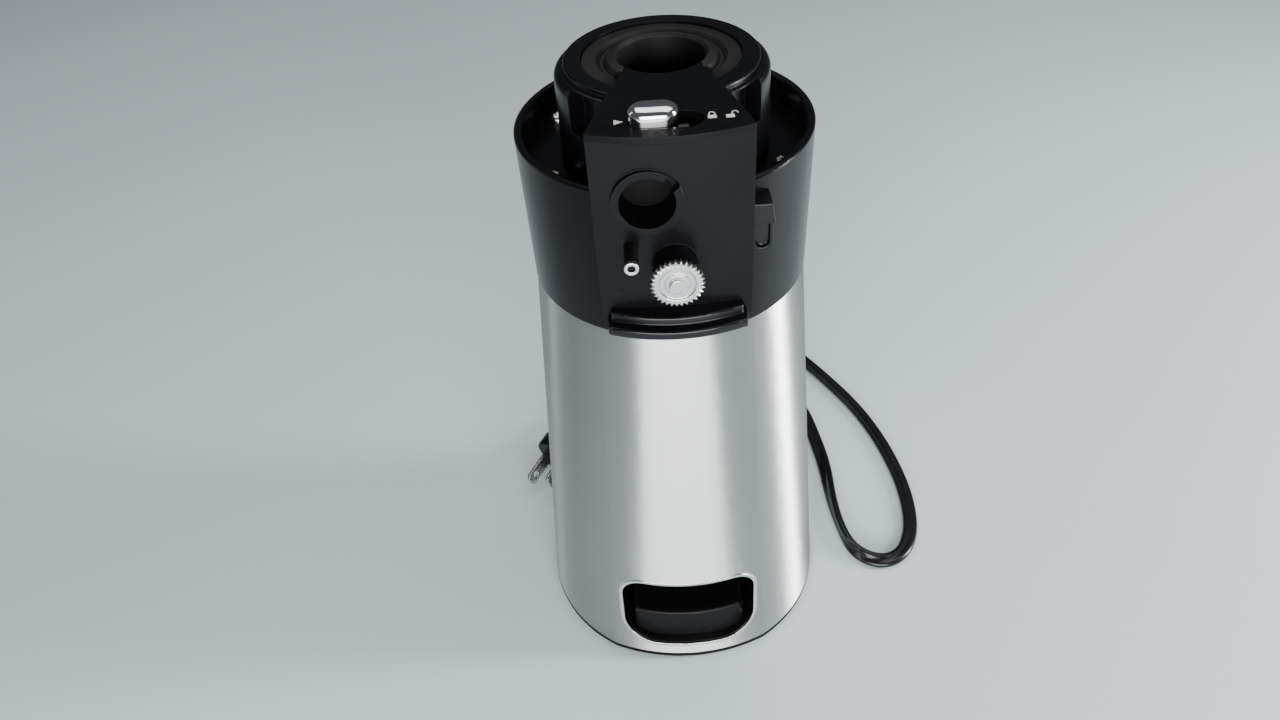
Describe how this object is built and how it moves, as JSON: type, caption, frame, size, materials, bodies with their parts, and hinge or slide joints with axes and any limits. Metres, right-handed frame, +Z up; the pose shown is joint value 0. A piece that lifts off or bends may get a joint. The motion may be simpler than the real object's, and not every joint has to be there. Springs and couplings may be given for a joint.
{
  "type": "electric can opener",
  "caption": "Tall electric can opener: tapered steel sleeve, black head with drive wheel, can rest, jar opener and release button, hand tool in its pocket, and mains lead.",
  "frame": {"origin": "on the floor under the middle of the opener, without its cord; the upright axis of the head passes through it", "axes": "+Z up, -Y towards the front with the drive wheel, +X to the right seen from the front"},
  "size_m": [0.1911, 0.2887, 0.2544],
  "materials": {
    "black_plastic": "matte moulded",
    "satin_black": "satin moulded",
    "gloss_black": "glossy moulded",
    "tool_plastic": "finely textured",
    "grip_rubber": "soft grip",
    "foot_rubber": "matte",
    "grey_plastic": "matte moulded",
    "gear_nylon": "natural nylon",
    "brushed_sleeve": "brushed round the sleeve",
    "bright_steel": "ground",
    "plated_steel": "zinc plated",
    "laminated_steel": "laminated",
    "zinc_screw": "zinc plated",
    "cast_zinc": "cast",
    "polished_chrome": "polished",
    "bronze": "sintered bronze",
    "copper_wire": "enamelled copper",
    "nickel_blade": "nickel plated",
    "cord_vinyl": "glossy vinyl"
  },
  "bodies": {
    "opener": {"base_plate": "black_plastic", "base_screws": "zinc_screw", "can_rest": "gloss_black", "cap_lifter": "gloss_black", "coil_bobbin": "gear_nylon", "cord_strain_relief": "cord_vinyl", "deck_screws": "zinc_screw", "front_bush": "bronze", "front_gear_plate": "plated_steel", "front_motor_bracket": "cast_zinc", "gear_axles": "bright_steel", "gear_case_screws": "zinc_screw", "head_collar": "satin_black", "head_housing": "satin_black", "jar_opener_insert": "grip_rubber", "latch_spring": "bright_steel", "lever_socket": "black_plastic", "locating_post": "black_plastic", "motor_bearings": "bronze", "motor_coil": "copper_wire", "motor_screws": "zinc_screw", "motor_stator": "laminated_steel", "plate_spacers": "bright_steel", "plug_blades": "nickel_blade", "plug_body": "cord_vinyl", "pocket_trim": "polished_chrome", "post_ferrule": "bright_steel", "power_cord": "cord_vinyl", "rear_bush": "bronze", "rear_gear_plate": "plated_steel", "rear_motor_bracket": "cast_zinc", "rubber_feet": "foot_rubber", "steel_sleeve": "brushed_sleeve", "storage_pocket": "black_plastic", "support_posts": "grey_plastic", "switch_body": "black_plastic", "switch_spring": "bright_steel", "switch_terminals": "bronze"},
    "drive_spindle": {"drive_wheel": "bright_steel", "wheel_spindle": "bright_steel", "output_gear": "gear_nylon"},
    "second_gear": {"second_gear": "gear_nylon"},
    "first_gear": {"first_gear": "gear_nylon"},
    "rotor": {"rotor_shaft": "bright_steel", "motor_rotor": "laminated_steel", "motor_pinion": "bronze", "cooling_fan": "grey_plastic"},
    "button": {"release_button": "polished_chrome", "latch_plate": "plated_steel"},
    "plunger": {"switch_plunger": "gear_nylon"},
    "tool": {"hand_tool": "tool_plastic"}
  },
  "joints": [
    {"name": "rotor_spin", "type": "hinge", "parent": "opener", "child": "rotor", "pos_m": [0.0002, 0, 0.13571], "axis": [0, 1, 0], "continuous": true},
    {"name": "first_gear_spin", "type": "hinge", "parent": "opener", "child": "first_gear", "pos_m": [0.0002, 0, 0.15731], "axis": [0, 1, 0], "continuous": true},
    {"name": "second_gear_spin", "type": "hinge", "parent": "opener", "child": "second_gear", "pos_m": [0.0122, 0, 0.17809], "axis": [0, 1, 0], "continuous": true},
    {"name": "wheel_spin", "type": "hinge", "parent": "opener", "child": "drive_spindle", "pos_m": [0, 0, 0.2055], "axis": [0, 1, 0], "continuous": true},
    {"name": "button_slide", "type": "slide", "parent": "opener", "child": "button", "axis": [1, 0, 0], "range_m": [0, 0.0068], "stiffness_N_per_m": 200, "springref_m": -0.002},
    {"name": "plunger_press", "type": "slide", "parent": "opener", "child": "plunger", "axis": [0, 0, -1], "range_m": [0, 0.0015], "stiffness_N_per_m": 400, "springref_m": -0.0005, "deforming": ["switch_spring"]},
    {"name": "tool_pull", "type": "slide", "parent": "opener", "child": "tool", "axis": [0, -1, 0], "range_m": [0, 0.045]}
  ],
  "couplings": [
    {"joint": "first_gear_spin", "follows": "rotor_spin", "ratio": -0.2},
    {"joint": "second_gear_spin", "follows": "rotor_spin", "ratio": 0.05},
    {"joint": "wheel_spin", "follows": "rotor_spin", "ratio": -0.0125}
  ]
}
